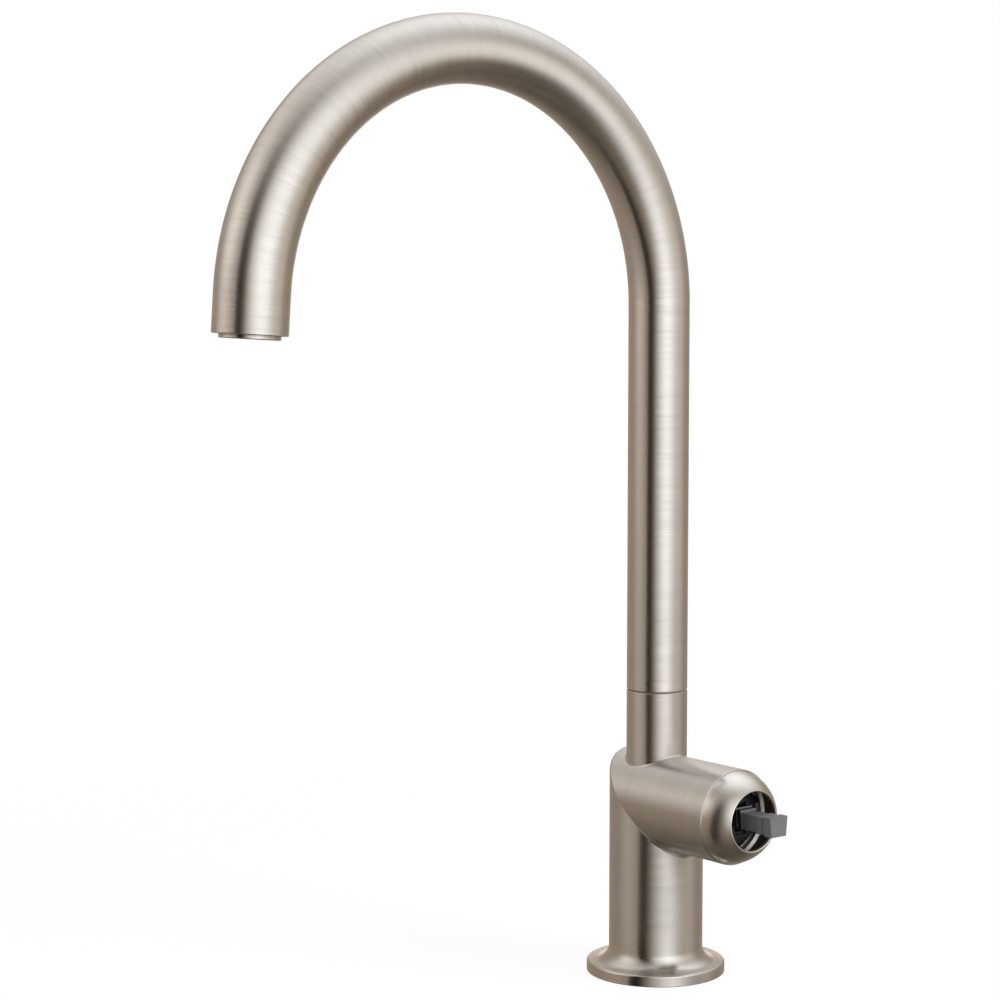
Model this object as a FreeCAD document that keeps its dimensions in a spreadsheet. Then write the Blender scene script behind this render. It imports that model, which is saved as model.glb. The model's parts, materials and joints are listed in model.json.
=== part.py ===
import FreeCAD, Part
import Sketcher
import os
import re

# Deck-mounted gooseneck faucet, shown without its handle. Millimetres and degrees.
# Origin: centre of the flange's underside, on the deck. +Z up, spout towards -Y, valve hub along +X.

os.makedirs("parts", exist_ok=True)
doc = FreeCAD.newDocument("gooseneck_faucet")

sizes = {
    # spout
    "post_od": 25.4,
    "outlet_od": 28.9,
    "tube_wall": 1.2,
    "bend_r": 100.3,
    "bend_deg": 175.9,
    "bend_z": 280.7,
    "tail_len": 15.4,
    "seam_z": 120.1,
    "edge_break": 0.3,
    # body casting
    "barrel_od": 39.4,
    "hub_z": 73.4,
    "hub_reach": 48.6,
    "mitre_round": 2.8,
    "flange_od": 58.2,
    "flange_rim": 4.6,
    "flange_slope": 0.6,
    "flare_r": 6.0,
    "rim_round": 0.7,
    "root_round": 0.9,
    "chamber_wall": 4.4,
    "thread_step": 1.9,
    "thread_runout": 1.0,
    "mouth_step": 1.15,
    "mouth_depth": 5.0,
    "port_r": 2.6,
    "inlet_y": 6.3,
    "inlet_dz": -4.5,
    "mix_dz": 3.0,
    "inlet_thread_r": 4.5,
    "inlet_thread_len": 12.0,
    "hose_room": 2.0,
    "waterway_r": 4.5,
    # dome bonnet
    "dome_set": 4.3,
    "dome_wall": 1.5,
    "opening_od": 24.2,
    "lip_round": 0.5,
    "skirt_wall": 1.0,
    "skirt_lap": 0.8,
    "seal_t": 1.2,
    # stem: handle seat outside, core on the pin, ball end in the disc carrier
    "stem_reach": 29.0,
    "stem_top_w": 9.7,
    "stem_low_w": 8.2,
    "stem_tall": 8.0,
    "stem_rise": 4.2,
    "stem_head": 4.0,
    "stem_waist": 4.2,
    "stem_groove": 0.8,
    "stem_step": 0.35,
    "stem_core_w": 6.0,
    "stem_core_h": 7.0,
    "stem_core_back": 6.5,
    "stem_arm": 9.5,
    "lift_deg": 12.5,
    "ball_r": 2.2,
    "tail_r": 1.7,
    "pin_r": 1.5,
    # cartridge
    "chamber_fit": 0.2,
    "housing_wall": 2.2,
    "base_t": 5.0,
    "seal_w": 1.5,
    "seal_depth": 1.6,
    "fixed_t": 3.0,
    "moving_t": 3.4,
    "mixing_depth": 1.8,
    "disc_seat": 0.6,
    "carrier_floor": 2.5,
    "carrier_plate": 3.0,
    "carrier_rim": 1.0,
    "tongue_w": 8.0,
    "tongue_len": 9.6,
    "tongue_over": 1.4,
    "rail_w": 3.0,
    "rail_len": 13.0,
    "rotor_r": 8.9,
    "rotor_flange_t": 1.8,
    "slot_room": 2.1,
    "collar_wall": 2.2,
    "collar_lead": 2.5,
    "cap_t": 2.8,
    "cap_seat": 1.3,
    "cap_rim": 1.7,
    "cap_frame": 1.2,
    "bar_gap": 2.5,
    "tab_w": 3.6,
    "tab_t": 1.6,
    "tab_over": 2.2,
    "nut_floor": 2.4,
    "nut_lip": 1.1,
    "nut_set": 1.2,
    "nut_gap": 0.4,
    "stop_t": 2.0,
    "stop_w": 3.2,
    "stop_deg": 62.0,
    "lug_w": 3.0,
    "lug_h": 2.2,
    # spigot in the neck
    "neck_wall": 2.5,
    "spigot_len": 22.0,
    "spigot_wall": 2.0,
    "spigot_gap": 0.8,
    "groove_depth": 0.7,
    "ring_seat": 0.5,
    "ring_t": 1.0,
    "ring_gap": 2.4,
    "ring_play": 0.4,
    "seal_half": 1.1,
    "seal_pitch": 3.2,
    "bush_t": 1.1,
    "bush_len": 4.5,
    "bush_set": 1.2,
    "land": 2.2,
    "washer_t": 0.5,
    "washer_set": 0.4,
    "braze_len": 14.0,
    # outlet
    "aerator_od": 23.4,
    "aerator_out": 1.6,
    "adapter_len": 10.0,
    "adapter_wall": 0.7,
    "adapter_rim": 1.2,
    "adapter_set": 0.4,
    "braze_gap": 0.02,
    "shell_wall": 1.2,
    "shell_lip": 0.8,
    "aerator_seal_w": 3.0,
    "aerator_seal_t": 1.6,
    "screen_t": 0.8,
    "regulator_t": 1.6,
    "diffuser_t": 2.4,
    "grid_pitch": 3.2,
    "grid_web": 0.7,
    # deck mounting
    "shank_od": 28.0,
    "shank_wall": 2.4,
    "shank_grip": 14.0,
    "shank_len": 66.0,
    "gasket_inset": 3.0,
    "gasket_w": 4.0,
    "gasket_t": 1.5,
    "deck_t": 30.0,
    "seal_washer_t": 3.0,
    "deck_washer_t": 2.0,
    "washer_od": 54.0,
    "washer_step": 1.0,
    "nut_af": 44.0,
    "nut_t": 9.0,
    "nut_chamfer": 1.6,
    # clearances
    "shank_fit": 0.1,
    "run_fit": 0.08,
    "run_gap": 0.05,
    "slide_fit": 0.15,
    "swing_gap": 0.3,
}

sheet = doc.addObject("Spreadsheet::Sheet", "dims")
for row, (alias, value) in enumerate(sizes.items(), 1):
    sheet.set(f"A{row}", alias)
    sheet.set(f"B{row}", str(value))
    sheet.setAlias(f"B{row}", alias)
doc.recompute()

# Lengths that follow from the driving sizes
derived = {
    "post_r": "post_od / 2",
    "barrel_r": "barrel_od / 2",
    "flange_r": "flange_od / 2",
    "outlet_r": "outlet_od / 2",
    "outlet_y": "-bend_r * (1 - cos(bend_deg)) - tail_len * sin(bend_deg)",
    "outlet_z": "bend_z + bend_r * sin(bend_deg) + tail_len * cos(bend_deg)",
    "neck_top": "seam_z - washer_t / 2",
    "tube_foot": "seam_z + washer_t / 2",
    "flare_z": "flange_rim + flange_slope",
    # hub bores, outermost to innermost
    "chamber_r": "barrel_r - chamber_wall",
    "thread_r": "chamber_r + thread_step",
    "mouth_r": "thread_r + mouth_step",
    "mouth_x": "hub_reach - mouth_depth",
    # valve stack along the hub, from the stem's pivot back to the seat
    "pivot_x": "hub_reach - dome_set",
    "ball_x": "pivot_x - stem_arm",
    "socket_r": "ball_r + swing_gap",
    "socket_x": "ball_x - ball_r - swing_gap",
    "carrier_x": "socket_x - carrier_floor",
    "plate_x": "carrier_x + carrier_plate",
    "tongue_x": "ball_x + tongue_over",
    "moving_x": "carrier_x + disc_seat - moving_t",
    "fixed_x": "moving_x - run_gap - fixed_t",
    "seat_x": "fixed_x - base_t",
    "housing_r": "chamber_r - chamber_fit",
    "cavity_r": "housing_r - housing_wall",
    "carrier_r": "cavity_r - stem_arm * sin(lift_deg) - swing_gap",
    "moving_r": "carrier_r - carrier_rim",
    "rotor_x": "tongue_x + swing_gap",
    "flange_x": "rotor_x + rotor_flange_t",
    "shoulder_x": "flange_x + swing_gap + housing_wall",
    "throat_r": "rotor_r + run_fit",
    "collar_r": "throat_r + collar_wall",
    "collar_x": "pivot_x + collar_lead",
    "cap_x": "collar_x + swing_gap",
    "rotor_front": "cap_x + cap_t",
    "slot_y": "stem_core_w / 2 + slide_fit",
    "slot_z": "stem_core_h / 2 + slot_room",
    "bar_x": "rotor_front + bar_gap",
    "stem_tip": "pivot_x + stem_reach",
    "nut_front": "hub_reach - nut_set",
    "nut_floor_x": "shoulder_x + nut_floor",
    "nut_bore": "thread_r - nut_lip",
    "skirt_r": "mouth_r - skirt_wall",
    "skirt_x": "mouth_x + seal_t",
    # spigot
    "neck_bore": "post_r - neck_wall",
    "tube_bore": "post_r - tube_wall",
    "bush_r": "neck_bore - run_fit",
    "spigot_r": "bush_r - bush_t",
    "spigot_z": "neck_top - spigot_len",
    "groove_r": "spigot_r - groove_depth",
    "ring_z": "spigot_z + bush_len + land",
    "seal_low_z": "ring_z + ring_t + land + ring_play",
    "seal_high_z": "seal_low_z + seal_pitch",
    "bush_high_z": "neck_top - bush_len - bush_set",
    # outlet, along the spout's end axis
    "outlet_bore": "outlet_r - tube_wall",
    "aerator_r": "aerator_od / 2",
    "shell_bore": "aerator_r - shell_wall",
    "shell_back": "aerator_seal_t - adapter_len",
    "screen_x": "shell_back + screen_t",
    "regulator_x": "screen_x + regulator_t",
    "diffuser_x": "regulator_x + diffuser_t",
    "grid_x": "aerator_out - shell_lip",
    "grid_hole": "(grid_pitch - grid_web) / 1.732",
    # deck mounting
    "shank_r": "shank_od / 2",
    "shank_bore": "shank_r - shank_wall",
    "inlet_z": "shank_grip + hose_room",
    "gasket_r": "flange_r - gasket_inset",
    "washer_r": "washer_od / 2",
    "hole_r": "shank_r + shank_fit",
    "seal_washer_z": "-deck_t - seal_washer_t",
    "deck_washer_z": "seal_washer_z - deck_washer_t",
    "nut_z": "deck_washer_z - nut_t",
    "nut_corner": "nut_af / 1.732",
}


def sized(text):
    # an expression with every name spelled out down to the sheet's cells
    def spell(match):
        word = match.group(0)
        if word in sizes:
            return "dims." + word
        if word in derived:
            return "(" + sized(derived[word]) + ")"
        return word
    return re.sub(r"[a-z]\w*", spell, str(text))


def number(text):
    return float(sheet.evalExpression(sized(text)))


def bind(item, **properties):
    for name, text in properties.items():
        item.setExpression(name, sized(text))


def place(item, at=(0, 0, 0), spin=(0, 0, 1), angle=0):
    where = "; ".join(sized(value) for value in at)
    about = "; ".join(sized(value) for value in spin)
    item.setExpression("Placement", f"create(<<placement>>; create(<<vector>>; {where}); "
                       f"create(<<rotation>>; create(<<vector>>; {about}); {sized(angle)}))")


# Turns that lay a piece's own Z along X or Y, along the hub, or along the spout's end
along = {"Z": {}, "X": dict(spin=(0, 1, 0), angle=90), "Y": dict(spin=(1, 0, 0), angle=-90)}
hub = dict(at=(0, 0, "hub_z"), **along["X"])
outlet = dict(at=(0, "outlet_y", "outlet_z"), spin=(1, 0, 0), angle="bend_deg")


def cylinder(name, radius, start, end, at=(0, 0), axis="Z"):
    # at: the two coordinates across the axis, in the order x, y, z
    item = doc.addObject("Part::Cylinder", name)
    bind(item, Radius=radius, Height=f"{end} - ({start})")
    spots = {"Z": (at[0], at[1], start), "X": (start, at[0], at[1]), "Y": (at[0], start, at[1])}
    place(item, spots[axis], **along[axis])
    return item


def hub_cylinder(name, radius, start, end):
    return cylinder(name, radius, start, end, (0, "hub_z"), "X")


def box(name, x, y, z):
    # x, y, z: pairs of limits
    item = doc.addObject("Part::Box", name)
    bind(item, Length=f"{x[1]} - ({x[0]})", Width=f"{y[1]} - ({y[0]})", Height=f"{z[1]} - ({z[0]})")
    place(item, (x[0], y[0], z[0]))
    return item


def hub_box(name, x, half_y, half_z):
    return box(name, x, (f"-({half_y})", half_y), (f"hub_z - ({half_z})", f"hub_z + {half_z}"))


def sphere(name, radius, at):
    item = doc.addObject("Part::Sphere", name)
    bind(item, Radius=radius)
    place(item, at)
    return item


def circle(name, radius, **where):
    item = doc.addObject("Part::Circle", name)
    bind(item, Radius=radius)
    place(item, **where)
    return item


def hexagon(name, corner, start, end, x=0, y=0):
    item = doc.addObject("Part::Prism", name)
    item.Polygon = 6
    bind(item, Circumradius=corner, Height=f"{end} - ({start})")
    place(item, (x, y, start))
    return item


def fuse(name, *items):
    item = doc.addObject("Part::MultiFuse", name)
    item.Shapes = list(items)
    return item


def common(name, *items):
    item = doc.addObject("Part::MultiCommon", name)
    item.Shapes = list(items)
    return item


def cut(name, base, *tools):
    item = doc.addObject("Part::Cut", name)
    item.Base = base
    item.Tool = tools[0] if len(tools) == 1 else fuse(name + "_tools", *tools)
    return item


def sweep(name, path, *sections):
    doc.recompute()
    item = doc.addObject("Part::Sweep", name)
    item.Sections = list(sections)
    item.Spine = (path, ["Edge1"])
    item.Solid = True
    return item


def outline(body, role, points):
    # closed polygon on an origin plane, each corner held by two bound distances
    plane = next(item for item in body.Origin.OriginFeatures if item.Role == role)
    sketch = body.newObject("Sketcher::SketchObject", body.Name + "_outline")
    sketch.AttachmentSupport = [(plane, "")]
    sketch.MapMode = "FlatFace"
    corners = [FreeCAD.Vector(number(u), number(v), 0) for u, v in points]
    for index, corner in enumerate(corners):
        sketch.addGeometry(Part.LineSegment(corner, corners[(index + 1) % len(corners)]), False)
    for index in range(len(corners)):
        sketch.addConstraint(Sketcher.Constraint("Coincident", index, 2, (index + 1) % len(corners), 1))
    for index, (corner, point) in enumerate(zip(corners, points)):
        for kind, value, text in (("DistanceX", corner.x, point[0]), ("DistanceY", corner.y, point[1])):
            held = sketch.addConstraint(Sketcher.Constraint(kind, -1, 1, index, 1, value))
            sketch.renameConstraint(held, f"{kind}{index}")
            sketch.setExpression(f"Constraints.{kind}{index}", sized(text))
    return sketch


def turned(name, points, **where):
    # body of revolution: points are radius and distance along the axis
    body = doc.addObject("PartDesign::Body", name)
    turn = body.newObject("PartDesign::Revolution", name + "_turn")
    turn.Profile = outline(body, "XZ_Plane", points)
    turn.ReferenceAxis = (turn.Profile[0], ["V_Axis"])
    body.Tip = turn
    place(body, **where)
    return body


def ring(name, inner, outer, start, end, **where):
    return turned(name, [(inner, start), (outer, start), (outer, end), (inner, end)], **where)


def padded(name, role, points, length, at):
    # straight bar with the given section
    body = doc.addObject("PartDesign::Body", name)
    pad = body.newObject("PartDesign::Pad", name + "_pad")
    pad.Profile = outline(body, role, points)
    bind(pad, Length=length)
    body.Tip = pad
    place(body, at)
    return body


def rounded(name, base, **rounds):
    # rounds: fillet name -> (size, test that picks its edges)
    body = doc.addObject("PartDesign::Body", name)
    body.BaseFeature = base
    doc.recompute()
    for label, (radius, picks) in rounds.items():
        source = body.Tip
        edges = [f"Edge{i}" for i, edge in enumerate(source.Shape.Edges, 1) if picks(edge)]
        fillet = body.newObject("PartDesign::Fillet", f"{name}_{label}")
        fillet.Base = (source, edges)
        bind(fillet, Radius=radius)
        body.Tip = fillet
        doc.recompute()
    return body


nodes = []


def node(item, label):
    item.Label = label
    nodes.append(item)


near = 0.01


def is_ring(edge, axis, level, radius):
    # a whole circle across the axis, at this level and of this radius
    if edge.Curve.TypeId != "Part::GeomCircle":
        return False
    centre = getattr(edge.Curve.Center, axis)
    flat = abs(getattr(edge.BoundBox, axis.upper() + "Length")) < near
    return flat and abs(centre - number(level)) < near and abs(edge.Curve.Radius - number(radius)) < near


def is_root(edge):
    # the saddle curve where the neck leaves the hub
    if edge.Curve.TypeId == "Part::GeomLine" or edge.BoundBox.ZLength < near:
        return False
    off = [abs((point.x ** 2 + point.y ** 2) ** 0.5 - number("post_r")) for point in edge.discretize(5)]
    return max(off) < near and edge.BoundBox.ZMin > number("hub_z")


# Body casting: flange and barrel, hub mitred on at 45 degrees with a rolling-ball round, neck
def mitre_half():
    # everything above the mitre plane, which runs at 45 degrees through the hub's axis
    reach = "3 * barrel_r"
    corners = [(f"-({reach})", f"hub_z + {reach}"), (reach, f"hub_z - {reach}"),
               (reach, f"hub_z + {reach}")]
    return padded("mitre_half", "XZ_Plane", corners, f"2 * {reach}", (0, reach, 0))


def elbow(name, radius, above):
    upright = cylinder(name + "_upright", radius, "0", "hub_z + 2 * barrel_r")
    lying = hub_cylinder(name + "_lying", radius, "-2 * barrel_r", "hub_reach")
    return fuse(name, cut(name + "_lower", upright, above), common(name + "_upper", lying, above))


def ball_path(name, radius, inside):
    # pipe left by a ball that rolls along the mitre: in its hollow corner, or inside its outer corner
    half = doc.addObject("Part::Ellipse", name + "_path")
    bind(half, MajorRadius=f"({radius}) * 1.41421356", MinorRadius=radius, Angle1="90", Angle2="270")
    side = 1 if inside else -1
    spin = dict(spin=(0, 1, 0), angle=45) if inside else dict(spin=("sin(22.5)", 0, "cos(22.5)"), angle=180)
    place(half, (0, 0, "hub_z"), **spin)
    start = circle(name + "_start", "mitre_round * 1.02", at=(0, f"{side} * ({radius})", "hub_z"),
                   spin=(0, 1, 0), angle=135)
    return sweep(name, half, start)


def contact_wedge(name, lean, side):
    # space between the ball's two lines of contact
    far = "2 * barrel_r"
    half = "0.98 * barrel_r"
    corners = [(0, "hub_z"), (f"{side} * {far}", f"hub_z - {side} * {far} * ({lean})"),
               (f"{side} * {far} * ({lean})", f"hub_z - {side} * {far}")]
    return padded(name, "XZ_Plane", corners, f"2 * {half}", (0, half, 0))


def rounded_elbow():
    above = mitre_half()
    outer, inner = "barrel_r + mitre_round", "barrel_r - mitre_round"
    gusset = cut("gusset", common("gusset_blank", elbow("wide_elbow", "barrel_r + mitre_round / 2", above),
                                  contact_wedge("gusset_wedge", f"({outer}) / barrel_r", 1)),
                 ball_path("gusset_ball", outer, False))
    corner = cut("corner", contact_wedge("corner_wedge", f"({inner}) / barrel_r", -1),
                 ball_path("corner_ball", inner, True), elbow("slim_elbow", inner, above))
    return cut("round_elbow", fuse("filled_elbow", elbow("sharp_elbow", "barrel_r", above), gusset), corner)


def casting():
    foot = turned("foot", [(0, 0), ("flange_r", 0), ("flange_r", "flange_rim"), ("barrel_r", "flare_z"),
                           ("barrel_r", "flare_z + 2 * flare_r"), (0, "flare_z + 2 * flare_r")])
    neck = turned("neck", [(0, "hub_z"), ("post_r", "hub_z"), ("post_r", "neck_top - edge_break"),
                           ("post_r - edge_break", "neck_top"), (0, "neck_top")])
    solid = fuse("casting_solid", foot, rounded_elbow(), neck)
    flare = "min(flare_r; 0.8 * (flange_r - barrel_r))"
    return rounded("casting", solid,
                   flare=(flare, lambda edge: is_ring(edge, "z", "flare_z", "barrel_r")),
                   rim=("rim_round", lambda edge: is_ring(edge, "z", "flange_rim", "flange_r")),
                   heel=("edge_break", lambda edge: is_ring(edge, "z", 0, "flange_r")),
                   mouth=("edge_break", lambda edge: is_ring(edge, "x", "hub_reach", "barrel_r")),
                   root=("root_round", is_root))


def waterways():
    # two inlets up the barrel to the valve seat, one outlet from the seat up to the neck
    ways = []
    for side, name in ((-1, "hot"), (1, "cold")):
        across = f"{side} * inlet_y"
        height = "hub_z + inlet_dz"
        thread_end = "inlet_z + inlet_thread_len"
        ways.append(cylinder(name + "_thread", "inlet_thread_r", "shank_grip", thread_end, (0, across)))
        ways.append(cylinder(name + "_riser", "port_r", "inlet_z", height, (0, across)))
        ways.append(cylinder(name + "_port", "port_r", "-port_r", "seat_x + port_r", (across, height), "X"))
    ways.append(cylinder("mix_port", "port_r", "-port_r", "seat_x + port_r", (0, "hub_z + mix_dz"), "X"))
    ways.append(cylinder("mix_riser", "waterway_r", "hub_z + mix_dz", "spigot_z"))
    return ways


def faucet_body():
    past = "hub_reach + mouth_depth"
    bores = [
        hub_cylinder("chamber", "chamber_r", "seat_x", past),
        hub_cylinder("nut_thread", "thread_r", "shoulder_x - thread_runout", past),
        hub_cylinder("mouth", "mouth_r", "mouth_x", past),
        cylinder("neck_socket", "neck_bore", "spigot_z - spigot_gap", "neck_top + spigot_gap"),
        cylinder("ring_groove", "neck_bore + ring_seat + ring_play", "ring_z - ring_play",
                 "ring_z + ring_t + ring_play"),
        cylinder("shank_thread", "shank_r", "-shank_grip", "shank_grip"),
        cylinder("hose_space", "shank_bore", "0", "inlet_z"),
        ring("gasket_groove", "gasket_r - gasket_w", "gasket_r", "-gasket_t", "gasket_t"),
    ]
    node(cut("body", casting(), *bores, *waterways()), "faucet_body")


# Dome bonnet: part of a sphere about the stem's pivot, with a skirt in the hub's mouth
def dome_bonnet():
    centre = ("pivot_x", 0, "hub_z")
    far = ("barrel_od", "barrel_od")
    cap = common("dome_cap", sphere("dome_ball", "barrel_r", centre),
                 hub_box("dome_front", ("hub_reach", "hub_reach + barrel_od"), *far))
    skirt = hub_cylinder("dome_skirt", "mouth_r", "skirt_x", "hub_reach + skirt_lap")
    hollow = common("dome_hollow", sphere("hollow_ball", "barrel_r - dome_wall", centre),
                    hub_box("hollow_front", ("hub_reach + skirt_lap", "hub_reach + barrel_od"), *far))
    bore = hub_cylinder("skirt_bore", "skirt_r", "skirt_x - seal_t", "hub_reach + skirt_lap")
    opening = hub_cylinder("opening", "opening_od / 2", "pivot_x", "hub_reach + barrel_od")
    dome = cut("dome_cut", fuse("dome_solid", cap, skirt), hollow, bore, opening)
    lip_x = "pivot_x + sqrt(barrel_r * barrel_r - opening_od * opening_od / 4)"
    node(rounded("dome", dome, lip=("lip_round", lambda edge: is_ring(edge, "x", lip_x, "opening_od / 2"))),
         "dome_bonnet")
    node(ring("seal_behind_dome", "skirt_r", "mouth_r", "mouth_x", "skirt_x", **hub), "bonnet_seal")


def seat_ports(name, radius, start, end):
    spots = (("hot", "-inlet_y", "inlet_dz"), ("cold", "inlet_y", "inlet_dz"), ("mix", "0", "mix_dz"))
    return [cylinder(f"{name}_{port}", radius, start, end, (y, f"hub_z + {z}"), "X")
            for port, y, z in spots]


# Cartridge pieces that stay still
def cartridge():
    seal_r = "port_r + seal_w"
    seal_x = "seat_x + seal_depth"
    plate = hub_cylinder("base_plate", "housing_r", "seat_x", "fixed_x")
    node(cut("base", plate, *seat_ports("base_port", "port_r", "seat_x", "fixed_x"),
             *seat_ports("seal_pocket", seal_r, "seat_x", seal_x)), "cartridge_base")
    rubber = fuse("rubber", *seat_ports("rubber", seal_r, "seat_x", seal_x))
    node(cut("seals", rubber, *seat_ports("rubber_hole", "port_r", "seat_x", seal_x)), "port_seals")
    face = "fixed_x + fixed_t"
    disc = hub_cylinder("fixed_blank", "cavity_r - chamber_fit", "fixed_x", face)
    node(cut("fixed", disc, *seat_ports("fixed_port", "port_r", "fixed_x", face)), "fixed_disc")
    ceiling = "shoulder_x - housing_wall"
    node(turned("housing", [
        ("cavity_r", "fixed_x"), ("housing_r", "fixed_x"), ("housing_r", "shoulder_x"),
        ("collar_r", "shoulder_x"), ("collar_r", "collar_x"), ("throat_r", "collar_x"),
        ("throat_r", ceiling), ("cavity_r", ceiling)], **hub), "cartridge_housing")
    nut_hole = "collar_r + nut_gap"
    node(turned("nut", [
        (nut_hole, "shoulder_x"), ("thread_r", "shoulder_x"), ("thread_r", "nut_front"),
        ("nut_bore", "nut_front"), ("nut_bore", "nut_floor_x"), (nut_hole, "nut_floor_x")], **hub),
        "cartridge_nut")
    stop_ring = ring("stop_ring", "collar_r", "min(collar_r + stop_w; nut_bore - nut_gap)", "nut_floor_x",
                     "nut_floor_x + stop_t", **hub)
    node(fuse("stop", stop_ring, stop_lug(-1), stop_lug(1)), "temperature_stop")


def stop_lug(side):
    # block standing on the stop ring, turned about the hub's axis away from the top
    lug = doc.addObject("Part::Box", "stop_lug")
    bind(lug, Length="cap_x + tab_t - nut_floor_x", Width="lug_w",
         Height="min(lug_h; nut_bore - nut_gap - collar_r - swing_gap)")
    turn, away, half = f"{side} * stop_deg", "(collar_r + swing_gap)", "lug_w / 2"
    place(lug, ("nut_floor_x", f"-{away} * sin({turn}) - {half} * cos({turn})",
                f"hub_z + {away} * cos({turn}) - {half} * sin({turn})"), (1, 0, 0), turn)
    return lug


# Pieces turned and tilted by the handle
def rotor():
    barrel = hub_cylinder("rotor_barrel", "rotor_r", "rotor_x", "cap_x")
    flange = hub_cylinder("rotor_flange", "cavity_r - swing_gap", "rotor_x", "flange_x")
    spigot = hub_cylinder("cap_spigot", "rotor_r - cap_seat", "rotor_x", "rotor_front")
    rail_y = "tongue_w / 2 + slide_fit"
    rail_x, rail_z = ("plate_x + swing_gap", "flange_x"), ("hub_z - rail_len / 2", "hub_z + rail_len / 2")
    rails = [box("rail", rail_x, limits, rail_z)
             for limits in ((f"-({rail_y} + rail_w)", f"-({rail_y})"), (rail_y, f"{rail_y} + rail_w"))]
    slot = hub_box("stem_slot", ("rotor_x", "rotor_front"), "slot_y", "slot_z")
    hole = cylinder("pin_hole", "pin_r", "-rotor_r", "rotor_r", ("pivot_x", "hub_z"), "Y")
    node(cut("rotor", fuse("rotor_solid", barrel, flange, spigot, *rails), slot, hole), "stem_rotor")
    pin = cylinder("pin", "pin_r", "-rotor_r + swing_gap", "rotor_r - swing_gap", ("pivot_x", "hub_z"), "Y")
    node(pin, "stem_pin")
    cap = hub_cylinder("cap_blank", "rotor_r + cap_rim", "cap_x", "rotor_front")
    tab = box("stop_tab", ("cap_x", "cap_x + tab_t"), ("-tab_w / 2", "tab_w / 2"),
              ("hub_z", "hub_z + collar_r + tab_over"))
    frame_x = "rotor_front + cap_frame"
    frame = hub_box("cap_frame", ("rotor_front - cap_t / 2", frame_x), "slot_y + cap_frame",
                    "slot_z + 2 * cap_frame")
    window = hub_box("cap_window", ("rotor_front", frame_x), "slot_y", "slot_z + cap_frame")
    bore = hub_cylinder("cap_bore", "rotor_r - cap_seat", "cap_x", "rotor_front")
    node(cut("cap", fuse("cap_solid", cap, tab, frame), bore, window), "rotor_cap")


def stem_bar(name, inset, start, end):
    low, high = f"stem_rise - stem_tall + {inset}", f"stem_rise - {inset}"
    wide, narrow = f"stem_top_w / 2 - {inset}", f"stem_low_w / 2 - {inset}"
    corners = [(f"-({wide})", high), (f"-({narrow})", low), (narrow, low), (wide, high)]
    return padded(name, "YZ_Plane", corners, f"{end} - ({start})", (start, 0, "hub_z"))


def stem():
    # handle seat: head, waist and shoulder stepped down from the tip, with a groove between them
    neck_x = "stem_tip - stem_head - stem_groove"
    waist_x = f"{neck_x} - stem_waist"
    bars = [stem_bar("stem_head_bar", "0", "stem_tip - stem_head", "stem_tip"),
            stem_bar("stem_groove_bar", "2 * stem_step", neck_x, "stem_tip - stem_head"),
            stem_bar("stem_waist_bar", "stem_step", waist_x, neck_x),
            stem_bar("stem_shoulder_bar", "2 * stem_step", "bar_x", waist_x)]
    core = hub_box("stem_core", ("pivot_x - stem_core_back", "bar_x"), "stem_core_w / 2", "stem_core_h / 2")
    tail = hub_cylinder("stem_tail", "tail_r", "ball_x", "pivot_x - stem_core_back")
    ball = sphere("stem_ball", "ball_r", ("ball_x", 0, "hub_z"))
    hole = cylinder("stem_hole", "pin_r + run_fit", "-stem_core_w", "stem_core_w",
                    ("pivot_x", "hub_z"), "Y")
    node(cut("stem", fuse("stem_solid", *bars, core, tail, ball), hole), "valve_stem")


def discs():
    plate = hub_cylinder("carrier_blank", "carrier_r", "carrier_x", "plate_x")
    tongue = hub_box("tongue", ("plate_x", "tongue_x"), "tongue_w / 2", "tongue_len / 2")
    socket = hub_cylinder("ball_socket", "socket_r", "socket_x", "tongue_x")
    pocket = hub_cylinder("disc_pocket", "moving_r", "carrier_x", "carrier_x + disc_seat")
    node(cut("carrier", fuse("carrier_solid", plate, tongue), socket, pocket), "disc_carrier")
    # the mixing pocket uncovers the two inlets as the disc slides down
    blank = hub_cylinder("moving_blank", "moving_r", "moving_x", "moving_x + moving_t")
    mixing = box("mixing_pocket", ("moving_x", "moving_x + mixing_depth"),
                 ("-0.7 * moving_r", "0.7 * moving_r"),
                 ("hub_z - 0.42 * moving_r", "hub_z + 0.62 * moving_r"))
    node(cut("moving", blank, mixing), "moving_disc")


# Gooseneck: straight foot, a bend that widens gently from the foot to the outlet, straight tail
bend_sections = 4


def bend(name, foot_r, end_r):
    path = circle(name + "_path", "bend_r", at=(0, "-bend_r", "bend_z"), spin=(1, 1, 1), angle=120)
    bind(path, Angle2="bend_deg")
    sections = []
    for index in range(bend_sections + 1):
        share = index / bend_sections
        turn = f"({share} * bend_deg)"
        eased = share * share * (3 - 2 * share)
        radius = f"{foot_r} + ({end_r} - {foot_r}) * {eased}"
        where = (0, f"-bend_r * (1 - cos({turn}))", f"bend_z + bend_r * sin({turn})")
        sections.append(circle(name + "_section", radius, at=where, spin=(1, 0, 0), angle=turn))
    return sweep(name, path, *sections)


def spout():
    foot = turned("tube_straight", [
        ("tube_bore", "tube_foot"), ("post_r - edge_break", "tube_foot"),
        ("post_r", "tube_foot + edge_break"), ("post_r", "bend_z"), ("tube_bore", "bend_z")])
    outside = bend("bend_outside", "post_r", "outlet_r")
    inside = bend("bend_inside", "tube_bore", "outlet_bore")
    hook = cut("tube_bend", outside, inside)
    tail = turned("tube_tail", [
        ("outlet_bore", "-tail_len"), ("outlet_r", "-tail_len"), ("outlet_r", "-edge_break"),
        ("outlet_r - edge_break", 0), ("outlet_bore", 0)], **outlet)
    node(fuse("tube", foot, hook, tail), "spout_tube")


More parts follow.
